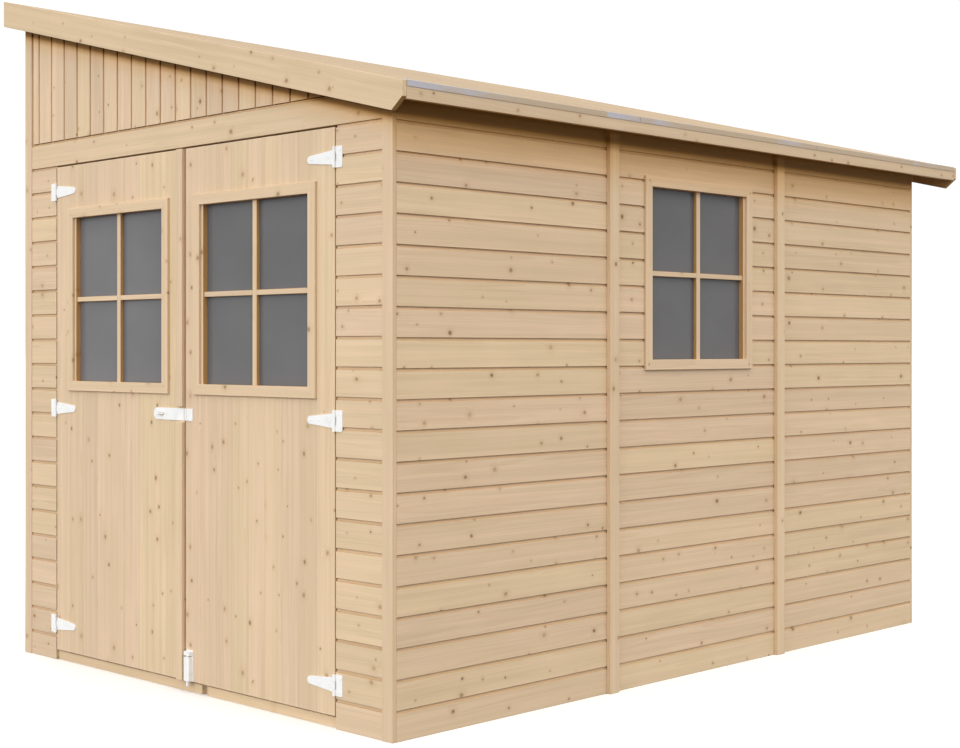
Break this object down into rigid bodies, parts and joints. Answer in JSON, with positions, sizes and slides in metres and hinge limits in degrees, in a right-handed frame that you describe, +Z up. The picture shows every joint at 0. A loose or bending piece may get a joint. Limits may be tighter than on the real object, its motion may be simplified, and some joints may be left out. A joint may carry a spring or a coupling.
{
  "type": "wooden garden shed",
  "caption": "Bare softwood garden shed with a lean-to board roof, boarded walls, glazed double doors on strap hinges and a side window.",
  "frame": {"origin": "centre of the walls' footprint, on the ground", "axes": "+Z up, the doors face -Y, the low wall with the window faces +X, the length runs along Y"},
  "size_m": [2.2165, 3.182, 2.4493],
  "materials": {
    "wall_boards": "bare planed softwood, satin",
    "frame_timber": "bare sawn softwood, matt",
    "trim_boards": "bare planed softwood, satin",
    "door_boards": "bare planed softwood, satin",
    "roof_boards": "bare planed softwood, matt",
    "floor_boards": "bare sawn softwood, matt",
    "eaves_strip": "blue-grey drip strip, satin",
    "glass": "clear sheet glass",
    "white_fittings": "white coated steel, satin"
  },
  "bodies": {
    "root": {"low_wall_panels": "wall_boards", "low_wall_window_panel": "wall_boards", "high_wall_panels": "wall_boards", "front_side_panels": "wall_boards", "front_transom": "wall_boards", "front_gable": "wall_boards", "rear_wall_panels": "wall_boards", "rear_gable": "wall_boards", "side_wall_rails": "frame_timber", "side_wall_studs": "frame_timber", "end_wall_posts": "frame_timber", "end_wall_rails": "frame_timber", "corner_trims": "trim_boards", "joint_battens": "trim_boards", "roof_panels": "roof_boards", "roof_purlins": "frame_timber", "eaves_fascia": "trim_boards", "high_fascia": "trim_boards", "eaves_strips": "eaves_strip", "barge_boards": "trim_boards", "floor_boards": "floor_boards", "floor_joists": "frame_timber", "front_sills": "frame_timber", "side_window_frame": "trim_boards", "side_window_glass": "glass", "hinge_plates": "white_fittings"},
    "left_door": {"left_door_leaf": "door_boards", "left_door_ledges": "frame_timber", "left_door_window_frame": "trim_boards", "left_door_window_glass": "glass", "meeting_strip": "trim_boards", "left_hinge_straps": "white_fittings", "hasp_strap": "white_fittings", "hasp_staple": "white_fittings"},
    "right_door": {"right_door_leaf": "door_boards", "right_door_ledges": "frame_timber", "right_door_window_frame": "trim_boards", "right_door_window_glass": "glass", "right_hinge_straps": "white_fittings", "hasp_leaf": "white_fittings", "door_bolt": "white_fittings"}
  },
  "joints": [
    {"name": "left_door_hinge", "type": "hinge", "parent": "root", "child": "left_door", "pos_m": [-0.802, -1.4635, 0.929], "axis": [0, 0, -1], "range_deg": [0, 160]},
    {"name": "right_door_hinge", "type": "hinge", "parent": "root", "child": "right_door", "pos_m": [0.764, -1.4635, 0.929], "axis": [0, 0, 1], "range_deg": [0, 160]}
  ]
}
